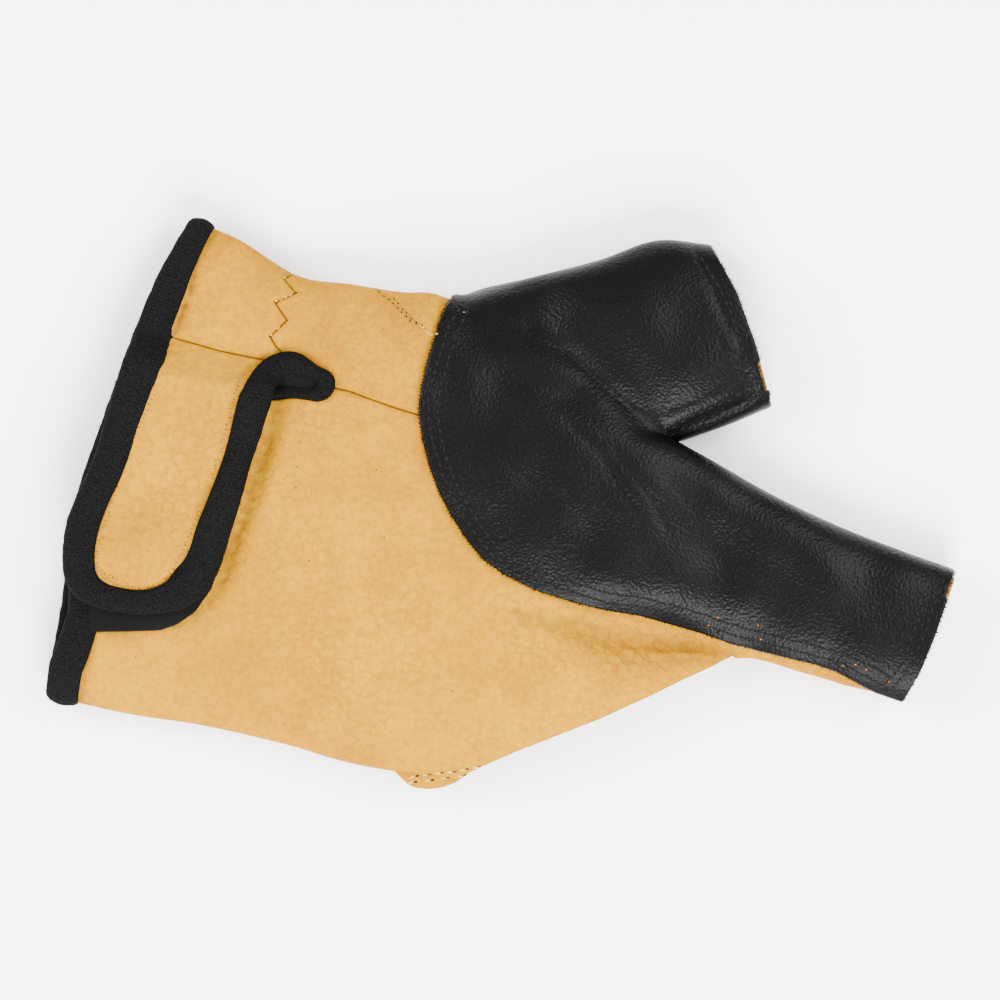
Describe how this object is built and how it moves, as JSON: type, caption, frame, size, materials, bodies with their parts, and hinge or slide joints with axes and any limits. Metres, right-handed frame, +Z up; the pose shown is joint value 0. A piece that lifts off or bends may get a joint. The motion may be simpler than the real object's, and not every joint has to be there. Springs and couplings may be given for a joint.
{
  "type": "archery bow-hand glove",
  "caption": "Leather bow-hand glove lying flat, with open index and thumb tubes, one opening for three fingers, a strapped wrist slit and knitted bindings.",
  "frame": {"origin": "under the middle of the glove, on the surface that it lies on", "axes": "+X from the wrist towards the fingertips, +Y towards the thumb, +Z up out of the back of the hand"},
  "size_m": [0.1822, 0.115, 0.0198],
  "materials": {
    "tan_leather": "smooth yellow-tan grain leather with a soft sheen",
    "black_leather": "smooth black grain leather, semi-gloss",
    "black_knit": "ribbed black elastic knit, matt",
    "fastener_pad": "black fuzzy fastener pad, matt"
  },
  "bodies": {
    "root": {"palm_panel": "tan_leather", "back_panel": "tan_leather", "wrist_panel": "tan_leather", "thumb_panel": "tan_leather", "thumb_stall": "tan_leather", "strap": "tan_leather", "corner_tab": "tan_leather", "finger_patch": "black_leather", "wrist_binding": "black_knit", "strap_binding": "black_knit", "slit_binding": "black_knit", "loop_pad": "fastener_pad", "hook_pad": "fastener_pad"}
  },
  "joints": []
}
